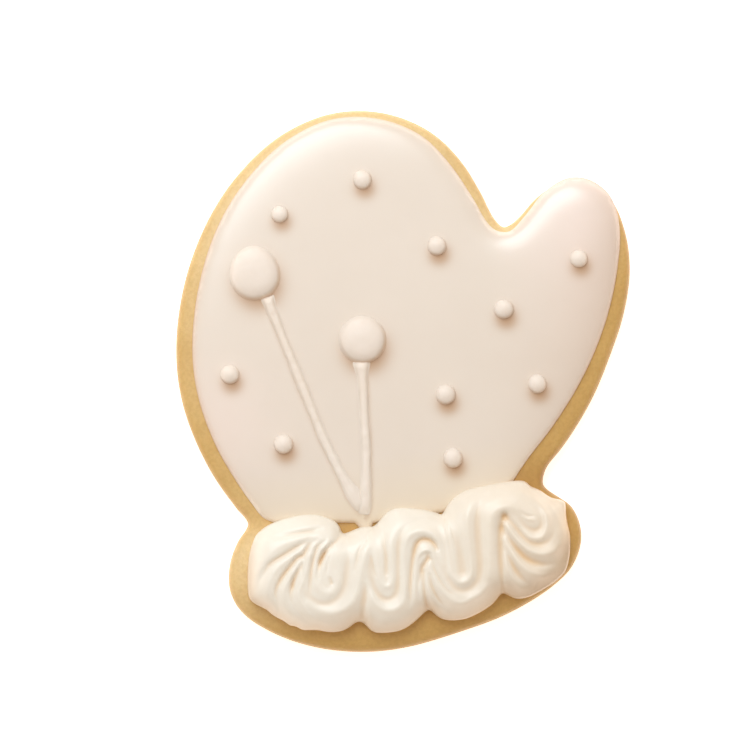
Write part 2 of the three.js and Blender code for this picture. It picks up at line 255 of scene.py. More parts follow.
def linear(red, green, blue):
    def channel(c):
        c /= 255
        return c / 12.92 if c <= 0.04045 else ((c + 0.055) / 1.055) ** 2.4
    return (channel(red), channel(green), channel(blue), 1)


# Cloudy grain all through a piece. Its scale is per metre, so 1000 is about a millimetre.
def grain(tree, scale, detail):
    place = addNode(tree, "ShaderNodeTexCoord")
    cloud = addNode(tree, "ShaderNodeTexNoise", Scale=scale, Detail=detail, Roughness=0.55)
    tree.links.new(place.outputs["Object"], cloud.inputs["Vector"])
    return cloud.outputs["Fac"]


def ramp(tree, source, stops):
    node = addNode(tree, "ShaderNodeValToRGB")
    node.color_ramp.elements[0].position, node.color_ramp.elements[0].color = stops[0]
    node.color_ramp.elements[1].position, node.color_ramp.elements[1].color = stops[-1]
    for position, colour in stops[1:-1]:
        node.color_ramp.elements.new(position).color = colour
    tree.links.new(source, node.inputs["Fac"])
    return node.outputs["Color"]


def blendColours(tree, share, first, second, how="MIX"):
    node = addNode(tree, "ShaderNodeMix", data_type="RGBA", blend_type=how)
    for socket, value in ((0, share), (6, first), (7, second)):
        if hasattr(value, "links"):
            tree.links.new(value, node.inputs[socket])
        else:
            node.inputs[socket].default_value = value
    return node.outputs[2]


def tintOf(tree, name):
    return addNode(tree, "ShaderNodeAttribute", attribute_name=name).outputs["Fac"]


# Lays one colour after another over the first, each by its own tint.
def layered(tree, colour, layers):
    for tint, over in layers:
        colour = blendColours(tree, tintOf(tree, tint), colour, over)
    return colour


# Darkens a colour by patches of grain: a scale, a detail, where the patches start and end, and their tone.
def mottled(tree, colour, scale, detail, start, end, tone):
    patches = ramp(tree, grain(tree, scale, detail), [(start, (*tone, 1)), (end, (1, 1, 1, 1))])
    return blendColours(tree, 1.0, colour, patches, "MULTIPLY")


# Bumps from grain: each has a scale, a detail, a depth and a strength.
def addBumps(tree, shader, layers):
    normal = None
    for scale, detail, depth, strength in layers:
        bump = addNode(tree, "ShaderNodeBump", Distance=depth * mm, Strength=strength)
        tree.links.new(grain(tree, scale, detail), bump.inputs["Height"])
        if normal:
            tree.links.new(normal, bump.inputs["Normal"])
        normal = bump.outputs["Normal"]
    tree.links.new(normal, shader.inputs["Normal"])


# The biscuit.

biscuitLook = {
    "pale": linear(247, 221, 168),
    "golden": linear(217, 176, 104),
    "brown": linear(184, 138, 72),
    "surface": {"Roughness": 0.42, "Specular IOR Level": 0.6, "Subsurface Weight": 0.12,
                "Subsurface Radius": (1.0, 0.6, 0.25), "Subsurface Scale": 1.2 * mm},
    "mottle": (180, 4, 0.3, 0.7, (0.95, 0.93, 0.9)),
    "specks": (1500, 2, 0.35, 0.6, (0.93, 0.91, 0.87)),
    "bumps": [(700, 4, 0.12, 0.5), (2600, 2, 0.05, 0.4)],
    "widestAt": flatTop * 0.42,
    "rimFall": 1.3,
    "rimWidth": 5,
    "spacing": 0.45,
    "underSpacing": 1.1,
    # the cut side from the foot to the brow: how far in, and how high
    "side": [(1.5, 0), (0.9, 0.1), (0.5, 0.4), (0.28, 0.9), (0.12, 1.8), (0.02, 2.9), (0, 3.9),
             (0.06, 4.7), (0.18, 5.25), (0.38, 5.65), (0.68, 5.93)],
    "brow": 1.05,
    "spread": {"by": 0.22, "across": (18, 26)},  # the dough ran out a little further on the right
    "waves": [(0.10, 0.12, 1), (0.06, 0.5, 2), (0.04, 1.4, 3)],  # height, scale and seed
    # how far it is baked, where 0 is pale, 0.5 golden and 1 brown; painted highlight and shadow shift it too
    "bakeLightAndShade": 0.5,
    # painted highlight on the far and left rims and by the cuff's end, painted shadow in the gap by the cuff
    "litFarRim": {"share": 0.4, "y": (10, 50)},
    "litLeftEdge": {"share": 0.15, "x": (-25, -45), "y": (-20, 0)},
    "paleAndLitSpots": [(0.35, (-37, -30), 12.25), (0.3, (21, 25), 7.75)],  # share, place and width
    "shadowByCuff": {"share": 0.4, "at": (2, -23), "width": (26, 4.5)},
    "cutEdge": {"share": 0.25, "width": 0.5},
    "cutSide": {"share": 0.3, "z": (5.3, 1.3)},
}


def bakedCrust():
    look = biscuitLook
    finish, tree, shader = newFinish("bakedCrust", look["surface"])
    depth = [(0, look["pale"]), (0.5, look["golden"]), (1, look["brown"])]
    baked = ramp(tree, tintOf(tree, "bakeLightAndShade"), depth)
    crumbed = mottled(tree, mottled(tree, baked, *look["mottle"]), *look["specks"])
    tree.links.new(crumbed, shader.inputs["Base Color"])
    addBumps(tree, shader, look["bumps"])
    return finish


biscuitRing = roundedRing(ringAt("biscuit", biscuitLook["widestAt"]), biscuitLook["spacing"])
spread = biscuitLook["spread"]
biscuitRing[:, 0] += spread["by"] * eased(biscuitRing[:, 0], *spread["across"])


# Height of the biscuit's top at a distance from its edge.
def bakedTop(distance):
    share = np.clip(distance / biscuitLook["rimWidth"], 0, 1)
    return flatTop - biscuitLook["rimFall"] * (1 - share) ** 2


# Height of the biscuit's top under points in plan, some of which may stand past its edge.
def bakedTopUnder(points):
    edge = distanceTo(biscuitRing, points)
    edge[~isInside(biscuitRing, points)] = 0
    return bakedTop(edge)


def biscuitShape():
    look = biscuitLook
    normal = inwards(biscuitRing)
    top, topFaces = filledRing(biscuitRing + normal * look["brow"], look["spacing"])
    side = [withHeight(biscuitRing + normal * inset, z) for inset, z in look["side"]]
    under, underFaces = filledRing(side[0][:, :2], look["underSpacing"])
    top = withHeight(top, bakedTop(distanceTo(biscuitRing, top)))
    corners, faces = closedShape(withHeight(under, 0), underFaces, side[1:], top, topFaces)
    waves = sum(height * softNoise(corners, scale, seed) for height, scale, seed in look["waves"])
    corners[:, 2] += np.where(corners[:, 2] > 1, waves, 0)
    return corners, faces


# Painted light and shade in the crust: the far rim, the left edge and the rim left of the cuff's end are
# painted paler as highlight, and the gap by the cuff darker as shadow. The notch is paler, and the cut edge
# and the side lower down are browner.
def bakeLightAndShadeOf(corners):
    look = biscuitLook
    x, y, z = corners.T
    far, left, paintedShadow = look["litFarRim"], look["litLeftEdge"], look["shadowByCuff"]
    pale = far["share"] * eased(y, *far["y"])
    pale += left["share"] * eased(x, *left["x"]) * eased(y, *left["y"])
    for share, at, width in look["paleAndLitSpots"]:
        pale += share * spot(corners, at, width)
    along = bell(x - paintedShadow["at"][0], paintedShadow["width"][0], sharpness=4)
    across = bell(y - paintedShadow["at"][1], paintedShadow["width"][1])
    brown = paintedShadow["share"] * along * across
    fromEdge = distanceTo(biscuitRing, corners[:, :2])
    brown += look["cutEdge"]["share"] * bell(fromEdge, look["cutEdge"]["width"], sharpness=1)
    brown += look["cutSide"]["share"] * eased(z, *look["cutSide"]["z"])
    return np.clip(look["bakeLightAndShade"] - pale + brown, 0, 1)


corners, faces = biscuitShape()
biscuit = makePiece("bakedBiscuit", corners, faces, bakedCrust(), "biscuit")
addTint(biscuit, "bakeLightAndShade", bakeLightAndShadeOf(corners))
print("biscuit:", len(corners), "corners")


# The flood icing.

floodLook = {
    "cream": linear(238, 225, 210),
    "blushAndLight": linear(249, 231, 219),
    "butter": linear(243, 228, 204),
    "paintedSideShade": linear(228, 207, 189),
    "paintedShadow": linear(192, 151, 110),
    "surface": {"Roughness": 0.3, "Specular IOR Level": 0.95, "Subsurface Weight": 0.15,
                "Subsurface Radius": (1.0, 0.92, 0.84), "Subsurface Scale": 0.8 * mm},
    "cloud": (60, 3, 0.3, 0.7, (0.975, 0.97, 0.965)),
    "bumps": [(90, 2, 0.15, 0.12), (2200, 2, 0.01, 0.3)],
    "lip": 0.5,
    "height": 2,
    "spacing": 0.42,
    "underSpacing": 3,
    "underside": -0.3,
    "softness": 7.2,
    "passes": 150,
    "rimLift": 0.35,
    # its edge, from underneath up to the lip: how far in, and how high over the biscuit
    "edge": [(0.4, -0.35), (0.1, -0.12), (-0.07, 0.1), (-0.06, 0.22)],
    # where the stems meet, a tongue of icing has run down to the cuff
    "tongue": {"x": -12.4, "half": 1.55, "reach": 1.8, "below": -20},
    # the thumb is pinker and the lower edge yellower; a place at the left is painted lighter, as painted
    # light
    "blushThumb": {"x": (18, 34), "y": (-2, 22)},
    "paintedLightLeft": {"share": 0.7, "at": (-37, -4), "width": 10.5},
    "butterHem": {"share": 0.8, "y": (-14, -24)},
    # painted shade: the far side, away from the light, is painted darker, and so is a thin band along the
    # edge, except by the cuff and in the notch
    "farSideShade": {"share": 0.9, "hand": (5, 37), "thumb": (33, 43), "thumbY": (0, 24), "power": 2.1},
    "unshadedHem": (-12, -20),
    "unshadedNotch": {"at": (20, 26), "width": 10.95},
    "edgeShade": {"share": 0.95, "width": 0.65, "fade": 0.6, "y": (15, 40), "unshaded": 0.8},
    # painted shadow on the flood: along its edge, below each drop and along the stems
    "warmEdge": {"share": 0.4, "width": 0.3},
    "warmDrop": {"share": 0.95, "away": (0.14, -0.92), "furthest": 2.3, "blur": (0.32, 0.1)},
    # shares on a stem's left and right
    "warmStem": {"left": (0.25, 0.15), "right": (0.05, 0.36), "width": 0.5, "step": 0.3},
}


def floodFinish():
    look = floodLook
    finish, tree, shader = newFinish("floodIcing", look["surface"])
    tints = ("blushAndLight", "butter", "paintedSideShade", "paintedShadow")
    tinted = layered(tree, look["cream"], [(tint, look[tint]) for tint in tints])
    tree.links.new(mottled(tree, tinted, *look["cloud"]), shader.inputs["Base Color"])
    addBumps(tree, shader, look["bumps"])
    return finish


def floodOutline():
    look, tongue = floodLook, floodLook["tongue"]
    ring = roundedRing(ringAt("flood_icing", flatTop + look["lip"]), look["spacing"])
    across = (ring[:, 0] - tongue["x"]) / tongue["half"]
    run = np.clip(1 - across ** 2, 0, 1) * (ring[:, 1] < tongue["below"])
    ring[:, 1] -= run * tongue["reach"]
    return roundedRing(ring, look["spacing"], passes=0)


# How full the flood is at each point, from 0 at its edge to 1 in the middle, like a film under pressure.
def fullness(points, faces, ring, look):
    full = 1 - np.exp(-distanceTo(ring, points) / look["softness"])
    full[: len(ring)] = 0
    mean = neighbourMean(edgePairs(faces), len(points))
    pull = 4 * (look["softness"] / look["spacing"]) ** 2
    for _ in range(look["passes"]):
        full = (pull * mean(full) + 1) / (pull + 1)
        full[: len(ring)] = 0
    return full


# The flood's corners and faces, and its top alone.
def floodShape():
    look = floodLook
    size, normal = len(floodRing), inwards(floodRing)
    top, topFaces = filledRing(floodRing, look["spacing"])
    full = fullness(top, topFaces, floodRing, look)
    lay = bakedTopUnder(top)
    start = lay + look["rimLift"]
    top = withHeight(top, start + (flatTop + look["height"] - start) * np.sqrt(1 - (1 - full) ** 2))
    edge = [withHeight(floodRing + normal * inset, lay[:size] + lift) for inset, lift in look["edge"]]
    under, underFaces = filledRing(edge[0][:, :2], look["underSpacing"])
    under = withHeight(under, flatTop + look["underside"])
    under[:size] = edge[0]
    return *closedShape(under, underFaces, edge[1:], top, topFaces), top


# Where the flood's edge takes no painted shade: by the cuff, and in the notch by the thumb.
def unshadedEdge(points):
    notch = floodLook["unshadedNotch"]
    return np.maximum(eased(points[:, 1], *floodLook["unshadedHem"]), spot(points, notch["at"], notch["width"]))


# The thumb's pink, and painted light at a place on the left.
def blushAndLightOf(points):
    thumb, left = floodLook["blushThumb"], floodLook["paintedLightLeft"]
    pinker = eased(points[:, 0], *thumb["x"]) * eased(points[:, 1], *thumb["y"])
    return pinker + left["share"] * spot(points, left["at"], left["width"])


def butterOf(points):
    hem = floodLook["butterHem"]
    return hem["share"] * eased(points[:, 1], *hem["y"])


# Painted shade on the far side and along a thin band of the edge.
def sideShadeOf(points):
    side, thin = floodLook["farSideShade"], floodLook["edgeShade"]
    x, y = points.T
    thumb = eased(y, *side["thumbY"])
    start, end = (hand + (onThumb - hand) * thumb for hand, onThumb in zip(side["hand"], side["thumb"]))
    farSide = side["share"] * eased(x, start, end) ** side["power"]
    strength = thin["share"] - thin["fade"] * eased(y, *thin["y"])
    strength *= 1 - thin["unshaded"] * unshadedEdge(points)
    return np.maximum(farSide, strength * bell(distanceTo(floodRing, points), thin["width"]))


floodRing = floodOutline()
corners, faces, floodTop = floodShape()
floodPlan = corners[:, :2]
floodPiece = makePiece("floodIcing", corners, faces, floodFinish(), "flood_icing")
addTint(floodPiece, "blushAndLight", blushAndLightOf(floodPlan))
addTint(floodPiece, "butter", butterOf(floodPlan))
addTint(floodPiece, "paintedSideShade", sideShadeOf(floodPlan))
print("flood icing:", len(corners), "corners")


# Height of the icing's surface under a point, from the nearest corners of its top.
def floodTopAt(point, count=4, nearest=0.0001):
    gap = ((floodTop[:, :2] - np.asarray(point)) ** 2).sum(1)
    near = np.argpartition(gap, count)[:count]
    share = 1 / (gap[near] + nearest)
    return (floodTop[near, 2] * share).sum() / share.sum()


# What all the piped icing shares.
pipedLook = {
    "surface": {"Subsurface Radius": (1.0, 0.92, 0.84), "Subsurface Scale": 0.8 * mm},
    "cloud": (350, 3, 0.3, 0.7, (0.965, 0.96, 0.95)),
    "bumps": [(900, 3, 0.06, 0.35), (4000, 2, 0.015, 0.3)],
}


# Piped icing: the colour of its body, and deeper ones of painted shade that go over it by their tints.
def pipedFinish(name, look):
    surface = {**pipedLook["surface"], "Roughness": look["roughness"], "Subsurface Weight": look["scatter"]}
    finish, tree, shader = newFinish(name, surface)
    tinted = layered(tree, look["body"], look["tints"].items())
    tree.links.new(mottled(tree, tinted, *pipedLook["cloud"]), shader.inputs["Base Color"])
    addBumps(tree, shader, pipedLook["bumps"])
    return finish


# The ruffled cuff.

# The rope of stiff icing, as a mound inside its outline with its folds laid over it. A fold is a width
# and a line of points, each with how far it lifts (a crest) or sinks (a crease) the surface there.
cuffLook = {
    "body": linear(250, 242, 228),
    "tints": {"paintedShade": linear(231, 200, 160), "paintedFlankShade": linear(196, 170, 138)},
    "roughness": 0.36,
    "scatter": 0.1,
    "spacing": 0.17,
    "outline": [
        [-27.5, -23.15], [-29, -23.5], [-30.5, -24], [-31.6, -24.6], [-32.6, -25.4], [-33.4, -26.7],
        [-34.1, -28.2], [-34.7, -30.2], [-35.1, -32.2], [-35.35, -34], [-35.5, -35.6], [-35.35, -36.8],
        [-34.8, -37.6], [-33.8, -38.4], [-32.6, -39.25], [-31.8, -40.15], [-30.9, -40.95],
        [-29.7, -41.8], [-28.7, -42.7], [-27.7, -43.05], [-26.5, -43.85], [-25.1, -44.1],
        [-23.6, -44.35], [-22.1, -44.85], [-20.5, -45.1], [-19, -45], [-17.7, -44.5], [-16.8, -44],
        [-16, -43.85], [-15.3, -44.1], [-14.7, -44.8], [-14.1, -45.6], [-13.1, -46.25], [-11.3, -46.55],
        [-9.2, -46.55], [-7.7, -46.2], [-6.4, -45.6], [-5.1, -44.8], [-4, -44], [-3.1, -43.5],
        [-2.5, -43.7], [-1.9, -44.4], [-1.1, -45.2], [-0.1, -45.7], [1.6, -46.05], [3.5, -46.05],
        [5.2, -45.65], [7, -45], [8.9, -44.05], [10.1, -43], [11, -42.35], [12, -42.85], [13, -43.5],
        [14.3, -43.8], [16, -43.6], [17.5, -43.1], [19, -42.5], [20.5, -41.8], [21.8, -41],
        [22.8, -40.2], [23.5, -39.2], [24.1, -37.7], [24.5, -36.1], [24.75, -34.5], [24.85, -33],
        [24.7, -31.4], [24.65, -29.8], [24.8, -28.2], [24.75, -27.3], [24.1, -26.75], [23.2, -26.4],
        [22.3, -26], [21.5, -25.35], [20.7, -24.6], [19.8, -24], [18.95, -23.5], [18.45, -22.9],
        [17.9, -22.4], [16.8, -22.1], [15, -22], [13, -22], [11, -22.1], [9, -22.25], [7.2, -22.45],
        [6, -22.85], [4.8, -23.45], [3.8, -24.15], [3, -25], [2.4, -25.85], [1.85, -26.3],
        [1.2, -26], [0.4, -25.6], [-1, -25.05], [-3, -24.5], [-4.6, -24.15], [-6, -24], [-7.3, -24.2],
        [-8.5, -24.85], [-9.4, -25.65], [-10.2, -26.35], [-11, -26.75], [-12, -26.6], [-13.3, -26.6],
        [-14.6, -26.9], [-15.8, -27.2], [-16.5, -27.25], [-16.85, -26.8], [-17.05, -26],
        [-17.45, -25.25], [-18.1, -24.6], [-19.1, -23.95], [-20.5, -23.3], [-22, -22.95],
        [-24, -22.8], [-26, -22.95],
    ],
    "outlineSpacing": 0.1955,
    "underSpacing": 2,
    "underside": -0.4,
    "height": 6.1,
    "shoulder": 4.4,
    "wall": 1.1,
    "evenings": 90,
    "relief": 0.57,
    "fade": 1.4,  # the folds fade out this far from the edge
    "foldStep": 0.15,
    # inset and height of the foot's rings, below the part that the folds shape
    "foot": [(0.35, -0.4), (0.16, 0.1), (0.04, 0.6)],
    "brow": [0, 0.03, 0.1, 0.2, 0.33],
    # where it is painted with shade: in hollows, to the right, low down, and in the near rim's two bands
    "hollowDepth": 0.55,
    "hollowPasses": 60,
    "hollowShare": (1.1, 1.0),
    "rightward": (-5, 20),
    "rightShare": 0.28,
    "lowHeight": 1.8,
    "lowShare": 0.4,
    "rimSpacing": 0.3,
    "nearSide": (-26, -32),
    "nearRim": ((0.5, 1.4), (0.5, 0.4)),
    # where its flank is painted with shade
    "flankBelow": {"share": 0.3, "x": (-27, -19), "y": (-32, -35), "width": 2.6},
    "flankSwirl": {"share": 0.6, "x": (6, 18)},
    "flankFan": {"share": 0.38, "x": (-30, -34), "width": 1.2},
    "folds": [
        # the fan at the start of the rope
        [0.55, [[-31, -26.1, -0.15], [-28, -26.1, -0.5], [-25, -26, -0.85], [-22.5, -26, -0.9],
            [-20.6, -25.8, -0.3]]],
        [0.55, [[-21.6, -26.9, 0], [-22.6, -27.3, -0.25], [-23.6, -27.8, -0.5], [-25, -28.4, -0.7],
            [-27, -29.2, -0.75], [-29, -30.1, -0.75], [-30.5, -30.8, -0.8], [-31.5, -31.7, -0.65],
            [-32.3, -32.7, -0.5], [-33, -33.8, -0.35], [-33.5, -35.2, -0.1]]],
        [0.48, [[-20.8, -27.5, 0], [-22.6, -28.1, -0.5], [-23.6, -29.1, -0.85], [-24.4, -30.1, -0.9],
            [-25.6, -30.6, -0.9], [-26.8, -31.7, -0.9], [-28, -32.8, -1], [-29.1, -34, -0.95],
            [-30, -35.3, -0.75], [-30.4, -36.6, -0.6], [-30.4, -38, -0.4], [-30.2, -39.6, -0.2]]],
        [0.42, [[-24.5, -31, -0.1], [-25.6, -32.6, -0.6], [-26.3, -33.7, -0.75], [-26.9, -34.8, -1],
            [-27.2, -35.6, -1], [-27.6, -36.7, -0.45], [-27.7, -38.3, -0.25], [-27.2, -39.8, -0.2],
            [-26, -41.6, -0.25], [-24.8, -43, -0.1]]],
        [0.3, [[-24.4, -31, -0.1], [-24.9, -32.6, -0.2], [-25.1, -34.4, -0.05]]],
        [0.42, [[-19.4, -27.8, 0], [-20.4, -28.3, -0.5], [-21.5, -29, -0.8], [-22.2, -30.3, -0.9],
            [-22.9, -32, -0.85], [-23.4, -33.6, -0.65], [-23.8, -35.2, -0.4], [-24.2, -37, -0.1]]],
        [0.5, [[-17.2, -27.7, -0.4], [-18.1, -28.5, -0.7], [-19.1, -29.1, -0.8], [-20, -29.8, -1.1],
            [-20.7, -30.6, -1.9], [-21.4, -31.7, -2], [-21.8, -32.6, -1.1], [-22.1, -33.6, -0.5],
            [-22.3, -35, -0.1]]],
        [0.35, [[-18.7, -29.3, -0.1], [-19.7, -31, -0.25], [-20.3, -32.8, -0.25], [-20.6, -34.5, 0]]],
        [0.8, [[-24.5, -24.6, 0.1], [-22, -24.6, 0.3], [-20, -24.9, 0.45], [-18.7, -25.7, 0.5],
            [-18.5, -26.9, 0.45], [-19.2, -28, 0.3], [-20.4, -28.9, 0.3], [-21.6, -30.8, 0.3],
            [-22.5, -33.2, 0.2]]],
        [0.7, [[-25, -27, 0.15], [-28, -27.7, 0.2], [-31, -29.3, 0.2], [-33.3, -32, 0.15]]],
        [0.6, [[-24.5, -29, 0.2], [-26.8, -30.3, 0.3], [-29.2, -31.7, 0.35], [-31, -33.7, 0.3],
            [-32, -36, 0.2], [-32.3, -38, 0.1]]],
        [0.5, [[-25, -31.3, 0.3], [-26.3, -32.7, 0.3], [-27.8, -34.4, 0.3], [-28.9, -36.4, 0.3],
            [-29.1, -38.5, 0.25], [-28.4, -40.6, 0.15]]],
        [0.5, [[-23.4, -30.3, 0.25], [-24, -32.3, 0.3], [-25.1, -34.9, 0.3], [-26.1, -37.2, 0.3],
            [-25.6, -39.6, 0.3], [-24.2, -41.7, 0.25], [-22, -43.2, 0.15]]],
        # the first bend
        [0.35, [[-20.1, -35.1, -0.2], [-19.9, -35.9, -0.35], [-19.8, -36.4, -0.05]]],
        [0.8, [[-22.6, -34.6, 0.1], [-22.5, -36.2, 0.25], [-21.4, -37.5, 0.3], [-20, -37.6, 0.3],
            [-18.9, -36.4, 0.25], [-18.5, -34.4, 0.15], [-18.3, -31.5, 0.1], [-17.5, -29, 0.1]]],
        [0.8, [[-15.6, -29.5, -0.1], [-16.4, -32, -0.35], [-17, -34.4, -0.45], [-17.8, -36.8, -0.45],
            [-19, -38.6, -0.45], [-20.8, -39.5, -0.45], [-22.8, -39.2, -0.4], [-24.3, -37.9, -0.25],
            [-24.9, -36.4, -0.05]]],
        [0.85, [[-9.2, -26.3, 0], [-10.6, -27.6, 0.2], [-11.9, -29.2, 0.4], [-12.9, -31.2, 0.5],
            [-13.9, -33.6, 0.55], [-14.8, -36, 0.55], [-15.6, -38.4, 0.6], [-17.1, -40.4, 0.65],
            [-19, -41.4, 0.65], [-21, -41.5, 0.55], [-23, -40.7, 0.35], [-24.6, -39.2, 0.2]]],
        [0.4, [[-10.9, -26.9, -0.3], [-11.9, -28.1, -0.5], [-12.9, -29.4, -0.45], [-14, -30.7, -0.4],
            [-14.7, -32.3, -0.3], [-15.4, -34, -0.1]]],
        [1.0, [[-15.6, -44.4, -0.8], [-15.2, -42.8, -1.0], [-14.8, -41, -1.0], [-14.3, -39.4, -0.8],
            [-13.9, -38, -0.5], [-13.5, -36.6, -0.1]]],
        # the second bend
        [0.6, [[-14.1, -45, 0.2], [-14, -43, 0.35], [-13.7, -41, 0.3], [-13.5, -39.3, 0.15]]],
        [0.75, [[-13.1, -34.8, 0.1], [-13.2, -37, 0.3], [-13, -39, 0.45], [-12.3, -40.9, 0.6],
            [-10.9, -42.2, 0.65], [-9.2, -42.4, 0.65], [-7.7, -41.6, 0.6], [-6.9, -39.9, 0.5],
            [-6.7, -37.5, 0.45], [-6.5, -35, 0.4], [-6.1, -32.5, 0.45], [-5.5, -30.6, 0.5],
            [-4.6, -29.3, 0.6], [-3.2, -28.7, 0.65], [-1.8, -28.7, 0.65], [-0.5, -29.3, 0.6],
            [0.4, -30.5, 0.4], [0.8, -32.5, 0.2], [0.9, -35, 0.1]]],
        [0.7, [[-12.5, -32.5, -0.1], [-12.7, -35.5, -0.25], [-12.4, -37.8, -0.4], [-11.4, -39.6, -0.5],
            [-10, -40.3, -0.5], [-8.7, -39.7, -0.5], [-7.9, -38, -0.45], [-7.5, -35.5, -0.4],
            [-7.1, -33, -0.4], [-6.8, -30.8, -0.4], [-6.1, -28.9, -0.4], [-4.9, -27.6, -0.4],
            [-3.2, -27, -0.4], [-1.4, -27, -0.35], [0.2, -27.9, -0.3], [1.2, -29.5, -0.25],
            [1.5, -32, -0.25], [1.5, -34.5, -0.2], [1.8, -36.8, -0.05]]],
        [0.65, [[-11.4, -29.5, 0.05], [-11.1, -32, 0.2], [-11.1, -34.6, 0.3], [-10.9, -36.7, 0.4],
            [-10.2, -37.9, 0.5], [-9.2, -37.6, 0.4], [-8.5, -35.8, 0.3], [-8.2, -33, 0.3], [-8, -30.2, 0.25],
            [-7.6, -27.8, 0.1]]],
        [0.45, [[-8.6, -26, -0.05], [-9.1, -28, -0.35], [-9.3, -30.5, -0.45], [-9.4, -33, -0.45],
            [-9.7, -35.2, -0.3], [-9.9, -36.2, 0]]],
        [0.35, [[-12.2, -31, -0.05], [-12, -33.2, -0.25], [-11.8, -35.2, -0.2], [-11.5, -36.2, 0]]],
        # the arch between the second and third bends
        [0.55, [[0.1, -33, -0.1], [0, -32, -0.8], [-0.5, -31.1, -1.1], [-1.4, -30.5, -1.2],
            [-2.4, -30.4, -1.2], [-3.3, -30.9, -1.15], [-3.9, -31.9, -1.05], [-4.3, -33.2, -1],
            [-4.8, -35, -0.9], [-5.3, -37, -0.75], [-5.8, -39, -0.6], [-6.1, -41, -0.4],
            [-6.6, -43, -0.05]]],
        [0.5, [[-5, -41.5, 0.15], [-4.9, -38.5, 0.3], [-4.6, -36, 0.4], [-4.2, -34.3, 0.45],
            [-3.5, -33.1, 0.55], [-2.5, -32.4, 0.65], [-1.5, -32.4, 0.6], [-0.8, -33.3, 0.45],
            [-0.5, -35, 0.35], [0.1, -37, 0.3], [1, -39, 0.15], [2.2, -40.4, 0]]],
        [0.5, [[-1.5, -33.3, -0.4], [-1.8, -34, -0.8], [-2.5, -34.8, -0.9], [-3.1, -35.6, -0.85],
            [-3.5, -36.8, -0.6], [-4.2, -38.8, -0.35], [-4.4, -41, -0.3], [-4.6, -43, 0]]],
        [0.35, [[-3.5, -36.8, 0.1], [-3.8, -38.8, 0.2], [-3.8, -41.2, 0.15]]],
        [0.5, [[-2.8, -36.4, -0.4], [-3.2, -38.6, -0.6], [-3.3, -40.8, -0.9], [-3.1, -42.8, -1.2],
            [-3, -44, -1]]],
        [0.45, [[-2.5, -36.6, 0.2], [-2.5, -38.8, 0.45], [-2.2, -41, 0.5], [-1.6, -42.8, 0.35]]],
        [0.42, [[-1.9, -37, -0.3], [-1.8, -39, -0.55], [-1.2, -40.9, -0.6], [-0.2, -42.6, -0.45],
            [1.2, -44, -0.1]]],
        [0.35, [[-1.1, -34.2, -0.3], [-0.9, -36, -0.4], [-0.2, -38.2, -0.4], [0.9, -40.2, -0.3],
            [2.3, -41.4, -0.05]]],
        [0.9, [[-7, -25.9, 0.1], [-5, -25.3, 0.2], [-2.6, -25.4, 0.2], [-0.3, -26.2, 0.15]]],
        # the third bend
        [0.7, [[-1.7, -34.9, 0.3], [-1.3, -36.6, 0.45], [-0.5, -38.8, 0.5], [0.6, -40.9, 0.6],
            [2, -42.5, 0.7], [3.6, -43, 0.7], [5.4, -42.4, 0.7], [7, -41.7, 0.7], [8.2, -40.6, 0.6]]],
        [0.95, [[8.2, -40.6, 0.1], [9, -38.5, 0.5], [9.5, -35.5, 0.5], [9.9, -32.5, 0.5], [10.3, -30, 0.55],
            [10.9, -28.2, 0.6], [11.8, -27, 0.65], [13, -26.5, 0.65], [14.4, -26.6, 0.45],
            [15.5, -27.2, 0.2]]],
        [0.65, [[1.9, -33, 0.05], [2, -35.5, 0.2], [2.3, -37.4, 0.4], [3.3, -38.9, 0.55], [4.6, -39, 0.55],
            [5.6, -38, 0.5], [6, -36, 0.4], [6.1, -33, 0.3], [6.2, -30, 0.3], [6.5, -27.2, 0.3],
            [7.2, -25.2, 0.25], [8.6, -23.9, 0.1]]],
        [0.8, [[1.7, -38.3, -0.2], [2.6, -40, -0.4], [4, -40.7, -0.5], [5.6, -40.2, -0.5],
            [6.9, -38.8, -0.5], [7.5, -36.5, -0.5], [7.7, -33.5, -0.5], [7.9, -30.5, -0.55],
            [8.2, -28, -0.6], [8.8, -26, -0.6], [9.8, -24.7, -0.4], [11.4, -24.2, -0.2]]],
        [0.9, [[3.4, -26, -0.1], [3.8, -28.5, -0.3], [4, -32, -0.4], [4.1, -35, -0.5], [4.1, -37, -0.4]]],
        [0.3, [[2.2, -27.4, -0.3], [2.4, -29.5, -0.3], [2.6, -32, -0.2], [2.7, -34.5, -0.05]]],
        [0.3, [[3.2, -28, -0.1], [3.4, -30, -0.2], [3.5, -32, -0.05]]],
        # the last arch, and the swirl that ends the rope
        [0.72, [[13.3, -28.2, -1.1], [12.7, -29.2, -1.3], [12.3, -30.6, -1.2], [11.9, -32.4, -0.95],
            [11.6, -34.5, -0.85], [11.4, -37, -0.8], [11.2, -39.5, -0.8], [11.05, -42.6, -0.8]]],
        [0.4, [[12.5, -33.5, 0.1], [12.3, -36, 0.2], [12, -38.6, 0.3], [11.8, -40.4, 0.2]]],
        [0.65, [[13.3, -28.3, -0.7], [13.9, -29, -0.9], [14.6, -30, -0.8], [15.3, -31.1, -0.7],
            [16.1, -32.3, -0.6], [17.2, -33.5, -0.45], [18.7, -34.1, -0.4], [20.3, -33.9, -0.4],
            [21.6, -32.8, -0.4], [22.2, -31, -0.35], [22, -29, -0.3], [21.2, -27, -0.3], [20, -25.2, -0.3],
            [18.5, -23.8, -0.15]]],
        [0.6, [[16.4, -31.2, 0.1], [17.3, -32.5, 0.4], [18.7, -33.1, 0.5], [20, -32.5, 0.5],
            [20.8, -31, 0.4], [20.9, -29.2, 0.35], [20.3, -27.3, 0.3], [19.1, -25.6, 0.3],
            [17.2, -24.3, 0.25], [15, -23.6, 0.2], [12, -23.4, 0.15]]],
